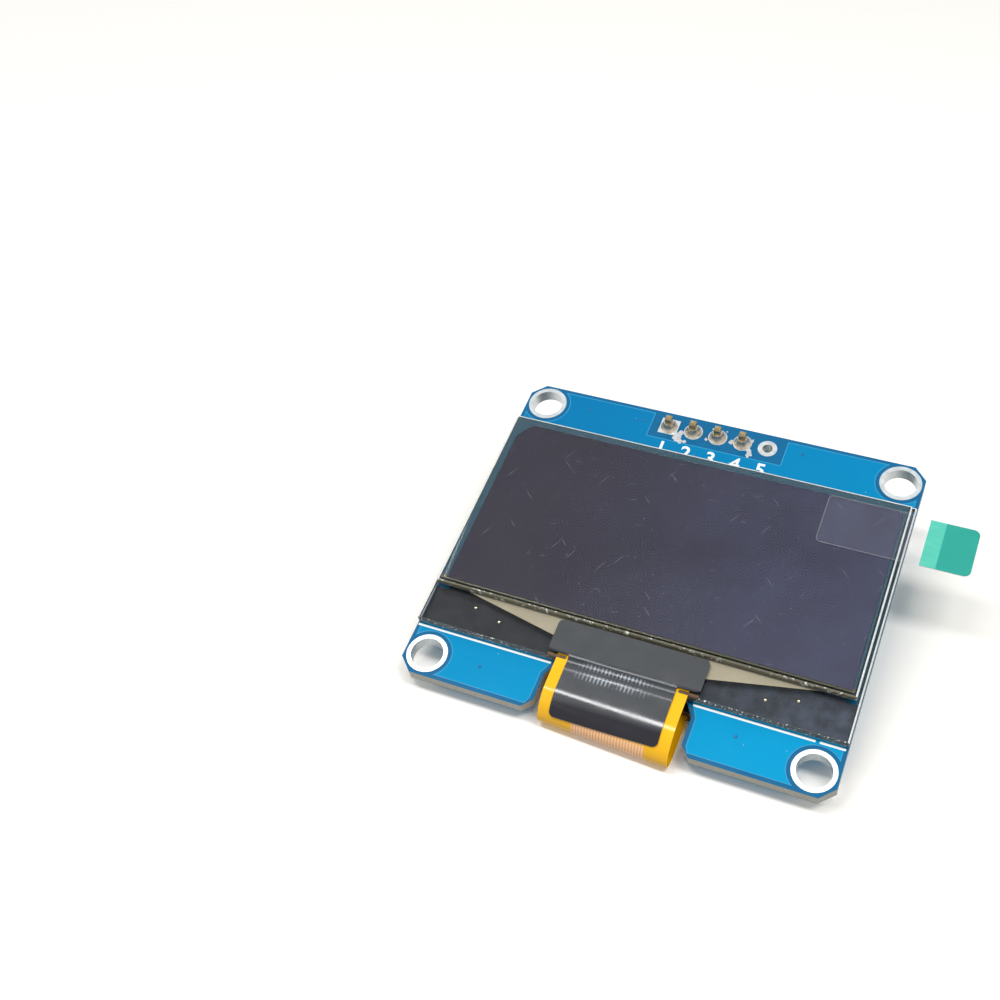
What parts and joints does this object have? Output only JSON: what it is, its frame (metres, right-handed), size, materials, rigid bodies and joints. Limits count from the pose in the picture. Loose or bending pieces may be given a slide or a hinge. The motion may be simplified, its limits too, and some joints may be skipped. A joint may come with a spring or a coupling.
{
  "type": "small oled display module",
  "caption": "Small graphic display module: laminated glass panel on a blue circuit board with corner mounting holes, folded flex circuit and rear cable connector.",
  "frame": {"origin": "centre of the four mounting holes on the board's front face", "axes": "+X along the board's long side, +Y up the display towards the header row, +Z out of the display"},
  "size_m": [0.0469, 0.0372, 0.0101],
  "materials": {
    "solder_mask": "glossy blue solder mask on glass-fibre laminate",
    "tinned_plating": "hot-air levelled tin",
    "solder": "bright solder",
    "pin_brass": "tinned brass",
    "connector_nylon": "natural white nylon",
    "black_foam": "black foam tape",
    "panel_glass": "clear soda-lime glass",
    "pixel_stack": "dark thin-film stack",
    "track_metal": "thin-film tracks",
    "seal_epoxy": "cured clear epoxy",
    "polariser_film": "dark glossy polariser",
    "clear_film": "clear protective film",
    "clear_tape": "clear adhesive tape",
    "green_flag": "green film",
    "silicon": "polished silicon",
    "amber_glue": "cured amber glue",
    "polyimide": "amber polyimide film",
    "dark_tape": "satin dark grey tape",
    "zif_plastic": "ivory moulded plastic",
    "slider_plastic": "dark brown moulded plastic",
    "contact_metal": "gold-flashed bronze",
    "capacitor_ceramic": "tan ceramic",
    "resistor_ceramic": "black glaze",
    "package_plastic": "black moulding compound"
  },
  "bodies": {
    "root": {"pcb": "solder_mask", "mounting_rings": "tinned_plating", "header_pads": "tinned_plating", "header_solder": "solder", "connector_pins": "pin_brass", "cable_connector": "connector_nylon", "foam_tape": "black_foam", "lower_glass": "panel_glass", "pixel_layer": "pixel_stack", "track_fan": "track_metal", "edge_seal": "seal_epoxy", "cap_glass": "panel_glass", "polariser": "polariser_film", "protective_film": "clear_film", "pull_tape": "clear_tape", "tab_flag": "green_flag", "driver_chip": "silicon", "bond_glue": "amber_glue", "flex_circuit": "polyimide", "cover_tape": "dark_tape", "zif_housing": "zif_plastic", "zif_slider": "slider_plastic", "zif_contacts": "contact_metal", "zif_anchors": "tinned_plating", "capacitor_bodies": "capacitor_ceramic", "capacitor_caps": "solder", "resistor_bodies": "resistor_ceramic", "resistor_caps": "solder", "regulator_body": "package_plastic", "regulator_leads": "solder", "diode_body": "package_plastic", "diode_leads": "solder"}
  },
  "joints": []
}
